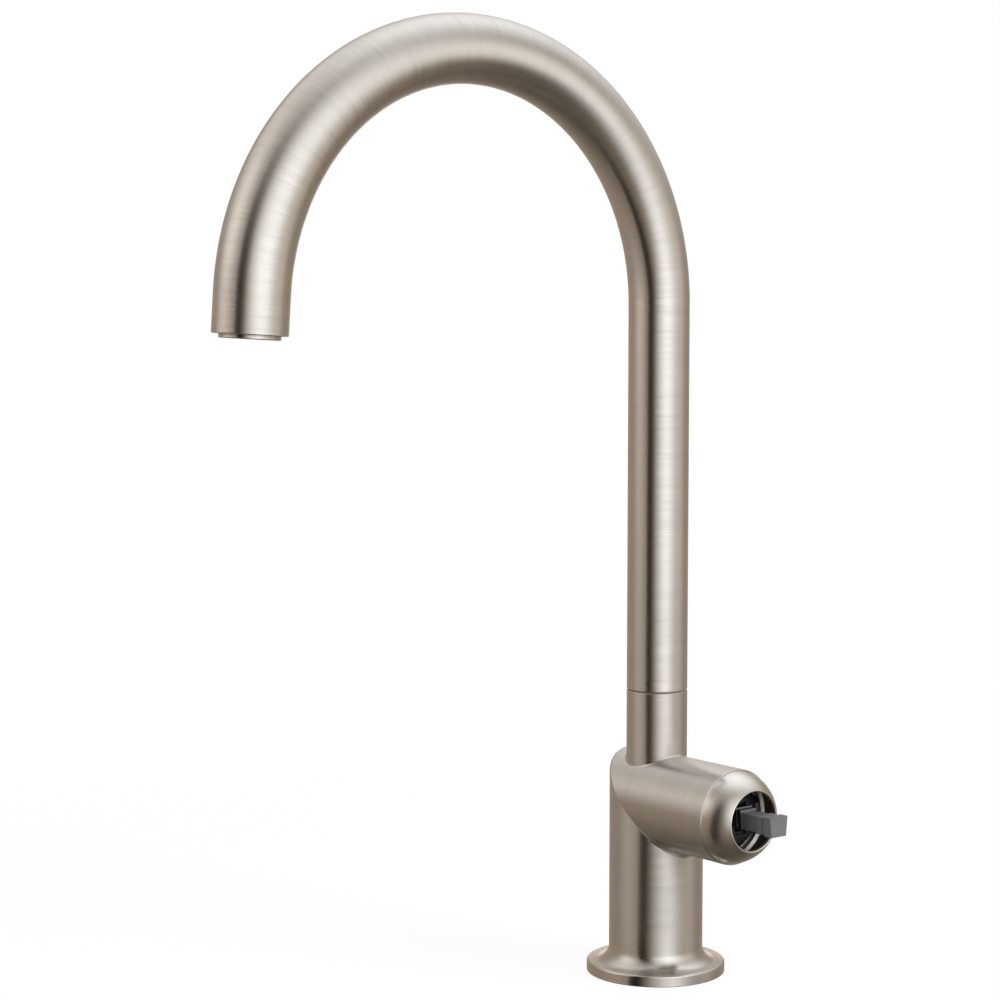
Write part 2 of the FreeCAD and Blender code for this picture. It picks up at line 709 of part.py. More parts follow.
def soft_ring(name, height):
    # rubber ring with an eight-sided section
    middle, half = "(groove_r + bush_r) / 2", "(bush_r - groove_r) / 2"
    flat = f"0.414 * {half}"
    points = [(f"{middle} + {u}", f"{height} + {v}") for u, v in (
        (half, f"-{flat}"), (half, flat), (flat, half), (f"-{flat}", half),
        (f"-{half}", flat), (f"-{half}", f"-{flat}"), (f"-{flat}", f"-{half}"), (flat, f"-{half}"))]
    return turned(name, points)


def spigot():
    bore = "spigot_r - spigot_wall"
    points = [(bore, "spigot_z"), ("spigot_r", "spigot_z"), ("spigot_r", "ring_z"), ("groove_r", "ring_z"),
              ("groove_r", "ring_z + ring_t"), ("spigot_r", "ring_z + ring_t")]
    for seal in ("seal_low_z", "seal_high_z"):
        low, high = f"{seal} - seal_half", f"{seal} + seal_half"
        points += [("spigot_r", low), ("groove_r", low), ("groove_r", high), ("spigot_r", high)]
    braze_top = "tube_foot + braze_len"
    points += [("spigot_r", "tube_foot"), ("tube_bore", "tube_foot"), ("tube_bore", braze_top),
               (bore, braze_top)]
    node(turned("spigot_turned", points), "spout_spigot")
    seals = [soft_ring("seal", height) for height in ("seal_low_z", "seal_high_z")]
    node(fuse("seal_pair", *seals), "spigot_seals")
    bushes = [ring("bush", "spigot_r", "bush_r", foot, f"{foot} + bush_len")
              for foot in ("spigot_z", "bush_high_z")]
    node(fuse("bush_pair", *bushes), "glide_bushes")
    clip = ring("clip", "groove_r", "neck_bore + ring_seat", "ring_z", "ring_z + ring_t")
    gap = box("clip_gap", ("0", "post_r"), ("-ring_gap / 2", "ring_gap / 2"), ("ring_z", "ring_z + ring_t"))
    node(cut("split_ring", clip, gap), "spout_retaining_ring")
    thrust = ring("thrust_ring", "spigot_r", "post_r - washer_set", "neck_top + run_gap", "tube_foot")
    node(thrust, "swivel_washer")


# Outlet pieces, along the axis of the spout's end
def honeycomb(name, rows, corner, start, end):
    # hexagon holes on a triangular grid, one pitch apart
    holes = []
    for row in range(-rows, rows + 1):
        count = 2 * rows + 1 - abs(row)
        for index in range(count):
            shift = index - (count - 1) / 2
            x, y = f"{row} * grid_pitch * 0.866", f"{shift} * grid_pitch"
            holes.append(hexagon(name, corner, start, end, x, y))
    return holes


def holed_disc(label, start, end, rows, corner):
    disc = ring(label + "_disc", "0", "shell_bore", start, end)
    item = cut(label + "_cut", disc, *honeycomb(label + "_hole", rows, corner, start, end))
    place(item, **outlet)
    node(item, label)


def outlet_end():
    sleeve_r, rim_r = "aerator_r + adapter_wall", "outlet_bore - braze_gap"
    rim_x = "-adapter_set - adapter_rim"
    node(turned("adapter", [
        ("aerator_r", "-adapter_len"), (sleeve_r, "-adapter_len"), (sleeve_r, rim_x), (rim_r, rim_x),
        (rim_r, "-adapter_set"), ("aerator_r", "-adapter_set")], **outlet), "outlet_adapter")
    lip_r = "shell_bore - shell_lip"
    node(turned("shell", [
        ("shell_bore", "shell_back"), ("aerator_r", "shell_back"), ("aerator_r", "aerator_out - edge_break"),
        ("aerator_r - edge_break", "aerator_out"), (lip_r, "aerator_out"), (lip_r, "grid_x"),
        ("shell_bore", "grid_x")], **outlet), "aerator_shell")
    seal_r = "aerator_r - aerator_seal_w"
    node(ring("rubber_ring", seal_r, "aerator_r", "-adapter_len", "shell_back", **outlet), "aerator_washer")
    holed_disc("strainer_screen", "shell_back", "screen_x", 2, "grid_pitch / 4")
    holed_disc("flow_regulator", "screen_x", "regulator_x", 1, "grid_pitch / 4")
    holed_disc("aerator_diffuser", "regulator_x", "diffuser_x", 1, "grid_hole")
    holed_disc("aerator_grid", "diffuser_x", "grid_x", 2, "grid_hole")


# Deck mounting
def mounting():
    node(ring("shank", "shank_bore", "shank_r", "-shank_len", "shank_grip"), "mounting_shank")
    node(ring("gasket", "gasket_r - gasket_w", "gasket_r", "0", "gasket_t"), "base_gasket")
    node(ring("soft_washer", "hole_r", "washer_r", "seal_washer_z", "-deck_t"), "deck_seal_washer")
    hard_r = "washer_r - washer_step"
    node(ring("hard_washer", "hole_r", hard_r, "deck_washer_z", "seal_washer_z"), "deck_washer")
    blank = ring("nut_blank", "hole_r", "nut_corner", "nut_z", "deck_washer_z")
    six_sided = hexagon("nut_hexagon", "nut_corner", "nut_z", "deck_washer_z")
    cone = turned("nut_cone", [
        (0, "nut_z"), ("nut_corner - nut_chamfer", "nut_z"), ("nut_corner", "nut_z + nut_chamfer"),
        ("nut_corner", "deck_washer_z"), (0, "deck_washer_z")])
    node(common("locknut", six_sided, blank, cone), "mounting_nut")


faucet_body()
dome_bonnet()
cartridge()
rotor()
stem()
discs()
spout()
spigot()
outlet_end()
mounting()
doc.recompute()

for item in doc.Objects:
    bad = [state for state in item.State if state in ("Invalid", "Error")]
    if bad:
        raise RuntimeError(f"{item.Name}: {bad}")

for item in nodes:
    if item.Shape.isNull() or not item.Shape.isValid():
        raise RuntimeError(f"{item.Label}: bad shape")
    item.Shape.exportStep(f"parts/{item.Label}.step")
    print(f"{item.Label}: {len(item.Shape.Solids)} solid(s), {item.Shape.Volume:.1f} mm3")
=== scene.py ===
import bpy
import bmesh
import json
from math import cos, degrees, pi, radians, sin
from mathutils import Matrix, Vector


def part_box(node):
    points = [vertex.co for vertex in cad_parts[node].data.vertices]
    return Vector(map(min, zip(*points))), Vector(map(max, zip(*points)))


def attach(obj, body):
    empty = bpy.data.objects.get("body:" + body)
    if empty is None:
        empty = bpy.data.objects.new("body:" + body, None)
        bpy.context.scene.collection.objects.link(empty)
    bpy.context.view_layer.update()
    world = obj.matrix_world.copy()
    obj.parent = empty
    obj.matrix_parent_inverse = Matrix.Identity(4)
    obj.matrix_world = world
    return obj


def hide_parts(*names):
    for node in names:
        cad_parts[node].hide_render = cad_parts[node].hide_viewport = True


# Single-hole kitchen faucet in brushed nickel, its bare valve stem showing. Metres, same frame as the CAD.

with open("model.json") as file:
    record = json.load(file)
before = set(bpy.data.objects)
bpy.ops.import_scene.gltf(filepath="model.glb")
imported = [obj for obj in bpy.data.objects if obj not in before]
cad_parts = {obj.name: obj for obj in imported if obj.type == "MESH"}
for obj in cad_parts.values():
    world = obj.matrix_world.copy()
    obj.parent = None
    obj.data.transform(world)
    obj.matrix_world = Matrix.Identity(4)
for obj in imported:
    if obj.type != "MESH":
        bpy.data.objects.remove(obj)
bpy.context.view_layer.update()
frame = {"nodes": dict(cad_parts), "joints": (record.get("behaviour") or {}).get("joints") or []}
nodes = frame["nodes"]
scene = bpy.context.scene
mm = 0.001
print("frame loaded:", len(nodes), "nodes")

joints = {joint["name"]: joint for joint in frame["joints"]}
pivot = Vector(joints["temperature_turn"]["pos_m"])  # where the hub's axis and the stem's pin cross
gooseneck = {"radius": 100.3 * mm, "startZ": 280.7 * mm, "bend": radians(175.9)}  # its centre line
casting = {
    "neckRadius": 12.7 * mm,
    "neckEdge": 0.6 * mm,  # still brushed as the neck this far outside it
    "hubRadius": 19.7 * mm,
    "domeWall": 1.5 * mm,
}


# colours and nodes

def srgb(code):
    parts = [int(code[i:i + 2], 16) / 255 for i in (1, 3, 5)]
    return [p / 12.92 if p <= 0.04045 else ((p + 0.055) / 1.055) ** 2.4 for p in parts] + [1]


def addNode(tree, kind, settings=None, links=None):
    # sockets by number: MapRange 0 value, 1-2 from, 3-4 to
    # Mix 0 share, then a pair each for numbers 2-3, vectors 4-5 and colours 6-7
    item = tree.nodes.new("ShaderNode" + kind)
    for name, value in (settings or {}).items():
        setattr(item, name, value)
    for socket, value in (links or {}).items():
        if isinstance(value, bpy.types.NodeSocket):
            tree.links.new(value, item.inputs[socket])
        else:
            item.inputs[socket].default_value = value
    return item


def newMaterial(name):
    material = bpy.data.materials.new(name)
    material.use_nodes = True
    material.node_tree.nodes.clear()
    return material, material.node_tree


def dress(material, *names):
    for name in names:
        slots = nodes[name].data.materials
        slots.clear()
        slots.append(material)


# where a point lies on a turned form: three line coordinates (the fine one last) and the ring direction

def onGooseneck(tree, place):
    x = addNode(tree, "SeparateXYZ", None, {0: place}).outputs[0]
    fromCentre = addNode(tree, "VectorMath", {"operation": "ADD"}, {
        0: place, 1: (0, gooseneck["radius"], -gooseneck["startZ"])}).outputs[0]
    dy, dz = addNode(tree, "SeparateXYZ", None, {0: fromCentre}).outputs[1:]
    # angle round the bend: 0 at the post, held at the bend's two ends
    turn = addNode(tree, "Math", {"operation": "ARCTAN2"}, {0: dz, 1: dy}).outputs[0]
    turn = addNode(tree, "Math", {"operation": "WRAP"}, {0: turn, 1: 1.5 * pi, 2: -0.5 * pi}).outputs[0]
    turn = addNode(tree, "Clamp", None, {0: turn, 1: 0, 2: gooseneck["bend"]}).outputs[0]
    cosTurn = addNode(tree, "Math", {"operation": "COSINE"}, {0: turn}).outputs[0]
    sinTurn = addNode(tree, "Math", {"operation": "SINE"}, {0: turn}).outputs[0]
    sinBack = addNode(tree, "Math", {"operation": "MULTIPLY"}, {0: sinTurn, 1: -1}).outputs[0]
    outward = addNode(tree, "CombineXYZ", None, {1: cosTurn, 2: sinTurn}).outputs[0]
    axis = addNode(tree, "CombineXYZ", None, {1: sinBack, 2: cosTurn}).outputs[0]
    side = addNode(tree, "VectorMath", {"operation": "DOT_PRODUCT"}, {0: fromCentre, 1: outward}).outputs[1]
    past = addNode(tree, "VectorMath", {"operation": "DOT_PRODUCT"}, {0: fromCentre, 1: axis}).outputs[1]
    run = addNode(tree, "Math", {"operation": "MULTIPLY_ADD"}, {
        0: turn, 1: gooseneck["radius"], 2: past}).outputs[0]
    centre = addNode(tree, "VectorMath", {"operation": "SCALE"}, {
        0: outward, "Scale": gooseneck["radius"]}).outputs[0]
    beyond = addNode(tree, "VectorMath", {"operation": "SCALE"}, {0: axis, "Scale": past}).outputs[0]
    radial = addNode(tree, "VectorMath", {"operation": "SUBTRACT"}, {0: fromCentre, 1: centre}).outputs[0]
    radial = addNode(tree, "VectorMath", {"operation": "SUBTRACT"}, {0: radial, 1: beyond}).outputs[0]
    ring = addNode(tree, "VectorMath", {"operation": "CROSS_PRODUCT"}, {0: axis, 1: radial}).outputs[0]
    lines = addNode(tree, "CombineXYZ", None, {0: x, 1: side, 2: run}).outputs[0]
    return lines, ring, radial


def onTurning(tree, place, axis, centre):
    # about a straight axis; the fine coordinate runs along it and across its end faces alike
    along = Vector([1 if letter == axis else 0 for letter in "XYZ"])
    across = Vector((1, 1, 1)) - along
    radial = addNode(tree, "VectorMath", {"operation": "SUBTRACT"}, {0: place, 1: centre}).outputs[0]
    flat = addNode(tree, "VectorMath", {"operation": "MULTIPLY"}, {0: radial, 1: across}).outputs[0]
    far = addNode(tree, "VectorMath", {"operation": "LENGTH"}, {0: flat}).outputs[1]
    ring = addNode(tree, "VectorMath", {"operation": "CROSS_PRODUCT"}, {0: along, 1: radial}).outputs[0]
    height = addNode(tree, "SeparateXYZ", None, {0: radial}).outputs["XYZ".index(axis)]
    run = addNode(tree, "Math", {"operation": "SUBTRACT"}, {0: height, 1: far}).outputs[0]
    spots = addNode(tree, "SeparateXYZ", None, {0: flat}).outputs
    others = [spots[i] for i in range(3) if "XYZ"[i] != axis]
    lines = addNode(tree, "CombineXYZ", None, {0: others[0], 1: others[1], 2: run}).outputs[0]
    return lines, ring, flat


def onBody(tree, place):
    # turned about the upright axis; above the mitre and off the neck, about the hub's axis
    upLines, upRing, upRadial = onTurning(tree, place, "Z", (0, 0, 0))
    hubLines, hubRing, hubRadial = onTurning(tree, place, "X", (0, 0, pivot.z))
    upFar = addNode(tree, "VectorMath", {"operation": "LENGTH"}, {0: upRadial}).outputs[1]
    spot = addNode(tree, "SeparateXYZ", None, {0: place}).outputs
    reach = addNode(tree, "Math", {"operation": "ADD"}, {0: spot["X"], 1: spot["Z"]}).outputs[0]
    pastMitre = addNode(tree, "Math", {"operation": "GREATER_THAN"}, {0: reach, 1: pivot.z}).outputs[0]
    offNeck = addNode(tree, "Math", {"operation": "GREATER_THAN"}, {
        0: upFar, 1: casting["neckRadius"] + casting["neckEdge"]}).outputs[0]
    onHub = addNode(tree, "Math", {"operation": "MULTIPLY"}, {0: pastMitre, 1: offNeck}).outputs[0]
    lines = addNode(tree, "Mix", {"data_type": "VECTOR"}, {0: onHub, 4: upLines, 5: hubLines}).outputs[1]
    ring = addNode(tree, "Mix", {"data_type": "VECTOR"}, {0: onHub, 4: upRing, 5: hubRing}).outputs[1]
    # how far a point stands off both the neck and the hub: the round in their corner, above the hub's axis
    hubFar = addNode(tree, "VectorMath", {"operation": "LENGTH"}, {0: hubRadial}).outputs[1]
    offUp = addNode(tree, "Math", {"operation": "SUBTRACT"}, {0: upFar, 1: casting["neckRadius"]}).outputs[0]
    offHub = addNode(tree, "Math", {"operation": "SUBTRACT"}, {0: hubFar, 1: casting["hubRadius"]}).outputs[0]
    offBoth = addNode(tree, "Math", {"operation": "MINIMUM"}, {0: offUp, 1: offHub}).outputs[0]
    overHub = addNode(tree, "Math", {"operation": "SUBTRACT"}, {0: spot["Z"], 1: pivot.z}).outputs[0]
    corner = addNode(tree, "Math", {"operation": "MINIMUM"}, {0: offBoth, 1: overHub}).outputs[0]
    return lines, ring, corner


# satin nickel: nickel plate over brass, brushed round each form with fine grit
# warm pale grey; reflections are drawn out along the axis, and faint lines run round it

nickel = {
    "colour": "#d5cfc6",
    "rubbed": "#b8b2a9",  # along the deeper strokes
    "bore": "#8a8076",  # painted shade inside the dome: the plate drawn darker where little light reaches
    "boreRough": 0.7,
    "roughness": {"gooseneck": 0.31, "body": 0.34, "dome": 0.25},
    "uneven": 0.05,
    "unevenSpan": (0.25, 0.75),  # span of the pattern over which the roughness changes
    "drawnOut": {"gooseneck": 0.9, "body": 0.97, "dome": 0.2},  # anisotropy; the dome is bead-polished
    "linesShown": {"gooseneck": 1, "body": 1, "dome": 0.35},  # mostly polished away on the dome
    "lineWidth": 0.36 * mm,  # grit leaves about 0.05 mm, drawn coarser so that it shows
    "lineLength": 20 * mm,
    "lineDetail": 3,
    "lineBreakUp": 0.6,
    "bandWidth": 2.6 * mm,
    "bandLength": 60 * mm,
    "bandDetail": 2,
    "bandShare": 0.3,
    "tilt": 0.022,  # how far each stroke leans its reflection round the form
    "tiltSpan": (0.2, 0.8),
    "wallFacing": 0.9,  # a facet this square to the tube's radius is part of its wall
    "flange": {"top": 7 * mm, "barrelFoot": 24 * mm, "finer": 0.72},
    "corner": {"off": 0.2 * mm, "finer": 0.45},
}


def trueNormal(tree, radial, normal):
    # on the tube's walls, the curved surface's own normal in place of the facets'
    out = addNode(tree, "VectorTransform", {
        "vector_type": "VECTOR", "convert_from": "OBJECT", "convert_to": "WORLD"}, {0: radial}).outputs[0]
    out = addNode(tree, "VectorMath", {"operation": "NORMALIZE"}, {0: out}).outputs[0]
    facing = addNode(tree, "VectorMath", {"operation": "DOT_PRODUCT"}, {0: out, 1: normal}).outputs[1]
    side = addNode(tree, "Math", {"operation": "SIGN"}, {0: facing}).outputs[0]
    out = addNode(tree, "VectorMath", {"operation": "SCALE"}, {0: out, "Scale": side}).outputs[0]
    onWall = addNode(tree, "Math", {"operation": "ABSOLUTE"}, {0: facing}).outputs[0]
    onWall = addNode(tree, "Math", {"operation": "GREATER_THAN"}, {
        0: onWall, 1: nickel["wallFacing"]}).outputs[0]
    return addNode(tree, "Mix", {"data_type": "VECTOR"}, {0: onWall, 4: normal, 5: out}).outputs[1]


def satinNickel(name, form):
    material, tree = newMaterial(name)
    place = addNode(tree, "TexCoord").outputs["Object"]
    normal = addNode(tree, "NewGeometry").outputs["Normal"]
    if form == "gooseneck":
        lines, ring, radial = onGooseneck(tree, place)
        normal = trueNormal(tree, radial, normal)
    elif form == "dome":
        lines, ring = onTurning(tree, place, "X", (0, 0, pivot.z))[:2]
    else:
        lines, ring, corner = onBody(tree, place)

    # strokes of the grit, and broader bands where the belt pressed harder
    fine, long = 1 / nickel["lineWidth"], 1 / nickel["lineLength"]
    wide, longer = 1 / nickel["bandWidth"], 1 / nickel["bandLength"]
    stroke = addNode(tree, "VectorMath", {"operation": "MULTIPLY"}, {
        0: lines, 1: (long, long, fine)}).outputs[0]
    strokes = addNode(tree, "TexNoise", None, {
        "Vector": stroke, "Scale": 1, "Detail": nickel["lineDetail"],
        "Roughness": nickel["lineBreakUp"]}).outputs[0]
    band = addNode(tree, "VectorMath", {"operation": "MULTIPLY"}, {
        0: lines, 1: (longer, longer, wide)}).outputs[0]
    bands = addNode(tree, "TexNoise", None, {
        "Vector": band, "Scale": 1, "Detail": nickel["bandDetail"]}).outputs[0]
    pattern = addNode(tree, "Mix", {"data_type": "FLOAT"}, {
        0: nickel["bandShare"], 2: strokes, 3: bands}).outputs[0]
    shown = nickel["linesShown"][form]  # fainter lines keep the same middle tone
    pattern = addNode(tree, "Math", {"operation": "MULTIPLY_ADD"}, {
        0: pattern, 1: shown, 2: (1 - shown) / 2}).outputs[0]

    # each stroke leans the normal a little; the tangent runs along the form
    ring = addNode(tree, "VectorTransform", {
        "vector_type": "VECTOR", "convert_from": "OBJECT", "convert_to": "WORLD"}, {0: ring}).outputs[0]
    ring = addNode(tree, "VectorMath", {"operation": "NORMALIZE"}, {0: ring}).outputs[0]
    tilt = nickel["tilt"] * shown
    lean = addNode(tree, "MapRange", None, {
        0: strokes, 1: nickel["tiltSpan"][0], 2: nickel["tiltSpan"][1], 3: -tilt, 4: tilt}).outputs[0]
    leaning = addNode(tree, "VectorMath", {"operation": "SCALE"}, {0: ring, "Scale": lean}).outputs[0]
    leaned = addNode(tree, "VectorMath", {"operation": "ADD"}, {0: normal, 1: leaning}).outputs[0]
    leaned = addNode(tree, "VectorMath", {"operation": "NORMALIZE"}, {0: leaned}).outputs[0]
    tangent = addNode(tree, "VectorMath", {"operation": "CROSS_PRODUCT"}, {0: ring, 1: normal}).outputs[0]

    colour = addNode(tree, "Mix", {"data_type": "RGBA"}, {
        0: pattern, 6: srgb(nickel["rubbed"]), 7: srgb(nickel["colour"])}).outputs[2]
    middle = nickel["roughness"][form]
    rough = addNode(tree, "MapRange", None, {
        0: pattern, 1: nickel["unevenSpan"][0], 2: nickel["unevenSpan"][1],
        3: middle + nickel["uneven"], 4: middle - nickel["uneven"]}).outputs[0]
    if form == "body":
        # the flange is turned and polished finer than the brushed barrel
        flange = nickel["flange"]
        height = addNode(tree, "SeparateXYZ", None, {0: place}).outputs[2]
        finer = addNode(tree, "MapRange", {"interpolation_type": "SMOOTHSTEP"}, {
            0: height, 1: flange["top"], 2: flange["barrelFoot"], 3: flange["finer"], 4: 1}).outputs[0]
        rough = addNode(tree, "Math", {"operation": "MULTIPLY"}, {0: rough, 1: finer}).outputs[0]
        # the round between neck and hub is polished by the edge of the mop
        polished = addNode(tree, "MapRange", {"interpolation_type": "SMOOTHSTEP"}, {
            0: corner, 1: 0, 2: nickel["corner"]["off"], 3: 1, 4: nickel["corner"]["finer"]}).outputs[0]
        rough = addNode(tree, "Math", {"operation": "MULTIPLY"}, {0: rough, 1: polished}).outputs[0]
    if form == "dome":
        # inside of the dome, nearer to the pivot than the middle of its wall: painted shade darkens its
        # colour, and its finish is rougher
        midWall = casting["hubRadius"] - casting["domeWall"] / 2
        insidePaintedShade = addNode(tree, "VectorMath", {"operation": "DISTANCE"}, {0: place, 1: pivot}).outputs[1]
        insidePaintedShade = addNode(tree, "Math", {"operation": "LESS_THAN"}, {0: insidePaintedShade, 1: midWall}).outputs[0]
        colour = addNode(tree, "Mix", {"data_type": "RGBA"}, {
            0: insidePaintedShade, 6: colour, 7: srgb(nickel["bore"])}).outputs[2]
        rough = addNode(tree, "Mix", {"data_type": "FLOAT"}, {
            0: insidePaintedShade, 2: rough, 3: nickel["boreRough"]}).outputs[0]
    metal = addNode(tree, "BsdfPrincipled", None, {
        "Base Color": colour, "Metallic": 1, "Roughness": rough, "Anisotropic": nickel["drawnOut"][form],
        "Tangent": tangent, "Normal": leaned})
    addNode(tree, "OutputMaterial", None, {"Surface": metal.outputs[0]})
    return material


dress(satinNickel("satin_nickel_brushed_spout", "gooseneck"), "spout_tube", "aerator_shell")
dress(satinNickel("satin_nickel_brushed_body", "body"), "faucet_body")
dress(satinNickel("satin_nickel_turned_dome", "dome"), "dome_bonnet")
print("nickel pieces dressed")


# lathe-turned metals: fine tool marks run round the axis and catch the light as rings

turnedMetals = {
    # brass: warm yellow, tarnished in soft clouds
    "brass_turned_upright": {
        "colour": "#cdb171", "tarnish": "#a98a4c", "roughness": 0.3,
        "feed": 0.4 * mm, "edge": 0.3 * mm, "axis": "Z"},
    "brass_turned_outlet": {
        "colour": "#cdb171", "tarnish": "#a98a4c", "roughness": 0.3,
        "feed": 0.4 * mm, "edge": 0.2 * mm, "axis": "Z"},
    # nickel plate straight over the turning: paler than the brushed nickel
    "nickel_plated_nut_turned": {
        "colour": "#efece6", "tarnish": "#dedad2", "roughness": 0.34,
        "feed": 0.35 * mm, "edge": 0.1 * mm, "axis": "X"},
    # stainless steel: neutral grey; the pin is ground smoother
    "stainless_steel_blanked": {
        "colour": "#bdbbb7", "tarnish": "#a3a19d", "roughness": 0.34,
        "feed": 0.5 * mm, "edge": 0.1 * mm, "axis": "Z"},
    "stainless_steel_ground_pin": {
        "colour": "#c6c4c0", "tarnish": "#adaba7", "roughness": 0.22,
        "feed": 0.3 * mm, "edge": 0.1 * mm, "axis": "Y"},
}  # feed marks of about 0.1 mm, drawn coarser so that they show; edges broken by the tool

toolMarks = {
    "length": 50 * mm,
    "detail": 2,
    "depth": 0.02 * mm,
    "strength": 0.4,
    "cloud": 9 * mm,
    "cloudDetail": 4,
    "tarnishSpan": (0.35, 0.7),
    "unevenSpan": (0.3, 0.7),
    "smoother": 0.05,
    "rougher": 0.08,
    "edgeSamples": 4,
}


def turnedMetal(name):
    spec = turnedMetals[name]
    material, tree = newMaterial(name)
    place = addNode(tree, "TexCoord").outputs["Object"]
    centre = {"X": (0, 0, pivot.z), "Y": (pivot.x, 0, pivot.z), "Z": (0, 0, 0)}[spec["axis"]]
    if name.endswith("outlet"):
        lines = onGooseneck(tree, place)[0]
    else:
        lines = onTurning(tree, place, spec["axis"], centre)[0]
    long = 1 / toolMarks["length"]
    mark = addNode(tree, "VectorMath", {"operation": "MULTIPLY"}, {
        0: lines, 1: (long, long, 1 / spec["feed"])}).outputs[0]
    marks = addNode(tree, "TexNoise", None, {
        "Vector": mark, "Scale": 1, "Detail": toolMarks["detail"]}).outputs[0]
    cloud = addNode(tree, "TexNoise", None, {
        "Vector": place, "Scale": 1 / toolMarks["cloud"], "Detail": toolMarks["cloudDetail"]}).outputs[0]
    dull = addNode(tree, "MapRange", None, {
        0: cloud, 1: toolMarks["tarnishSpan"][0], 2: toolMarks["tarnishSpan"][1], 3: 0, 4: 1}).outputs[0]
    colour = addNode(tree, "Mix", {"data_type": "RGBA"}, {
        0: dull, 6: srgb(spec["colour"]), 7: srgb(spec["tarnish"])}).outputs[2]
    rough = addNode(tree, "MapRange", None, {
        0: cloud, 1: toolMarks["unevenSpan"][0], 2: toolMarks["unevenSpan"][1],
        3: spec["roughness"] - toolMarks["smoother"], 4: spec["roughness"] + toolMarks["rougher"]}).outputs[0]
    edge = addNode(tree, "Bevel", {"samples": toolMarks["edgeSamples"]}, {"Radius": spec["edge"]}).outputs[0]
    bump = addNode(tree, "Bump", None, {
        "Strength": toolMarks["strength"], "Distance": toolMarks["depth"],
        "Height": marks, "Normal": edge}).outputs[0]
    metal = addNode(tree, "BsdfPrincipled", None, {
        "Base Color": colour, "Metallic": 1, "Roughness": rough, "Normal": bump})
    addNode(tree, "OutputMaterial", None, {"Surface": metal.outputs[0]})
    return material


uprightBrass = turnedMetal("brass_turned_upright")
dress(uprightBrass, "spout_spigot", "mounting_shank", "mounting_nut")
dress(turnedMetal("brass_turned_outlet"), "outlet_adapter")
platedNut = turnedMetal("nickel_plated_nut_turned")
dress(platedNut, "cartridge_nut")
dress(turnedMetal("stainless_steel_blanked"), "deck_washer", "spout_retaining_ring", "strainer_screen")
dress(turnedMetal("stainless_steel_ground_pin"), "stem_pin")
print("turned metals dressed")


# moulded and pressed pieces: the mould's texture as fine grain, plus the specks of what they are filled with

mouldings = {
    # nylon filled with glass: matte mid grey, faint pale fibres, edges rounded by the mould
    "nylon_glass_filled_moulded": {
        "colour": "#5a5a5b", "shade": "#4e4e4f", "roughness": 0.5, "grain": 0.22 * mm, "depth": 0.012 * mm,
        "speck": "#6a6a6b", "speckSize": 0.7 * mm, "edge": 0.6 * mm},
    # acetal, black: smooth moulded skin, slightly glossy
    "acetal_black_moulded": {
        "colour": "#141414", "shade": "#0b0b0b", "roughness": 0.42, "grain": 0.3 * mm, "depth": 0.006 * mm,
        "speck": "#1d1d1d", "speckSize": 1.2 * mm, "edge": 0.12 * mm},
    # acetal, greyed: black lightened to a warm dark grey, painted light that lifts the washer's thin line in
    # the shaded seam
    "acetal_greyed_moulded": {
        "colour": "#625b53", "shade": "#504a43", "roughness": 0.35, "grain": 0.3 * mm, "depth": 0.004 * mm,
        "speck": "#6b645b", "speckSize": 1.2 * mm, "edge": 0.3 * mm},
    # acetal, natural: milky white, satin
    "acetal_natural_moulded": {
        "colour": "#e4e1d8", "shade": "#d6d2c6", "roughness": 0.36, "grain": 0.3 * mm, "depth": 0.006 * mm,
        "speck": "#ebe9e2", "speckSize": 1.5 * mm, "edge": 0.12 * mm},
    # nitrile rubber: dead matte black with a grey bloom
    "nitrile_rubber_moulded": {
        "colour": "#1d1d1e", "shade": "#141415", "roughness": 0.72, "grain": 0.18 * mm, "depth": 0.015 * mm,
        "speck": "#2e2e2f", "speckSize": 3.0 * mm, "edge": 0.15 * mm},
    # alumina: fired white ceramic, lapped almost to a mirror
    "alumina_lapped": {
        "colour": "#ece8df", "shade": "#e1dcd0", "roughness": 0.14, "grain": 0.12 * mm, "depth": 0.002 * mm,
        "speck": "#d9d3c5", "speckSize": 0.5 * mm, "edge": 0.1 * mm},
}

mouldSkin = {
    "grainDetail": 3,
    "strength": 0.6,
    "cloud": 6 * mm,
    "cloudDetail": 3,
    "speckSpan": (0.12, 0.3),  # from a speck's heart to its rim, as a share of the specks' spacing
    "speckShare": 0.8,
    "unevenSpan": (0.3, 0.7),
    "smoother": 0.04,
    "rougher": 0.06,
    "edgeSamples": 4,
}


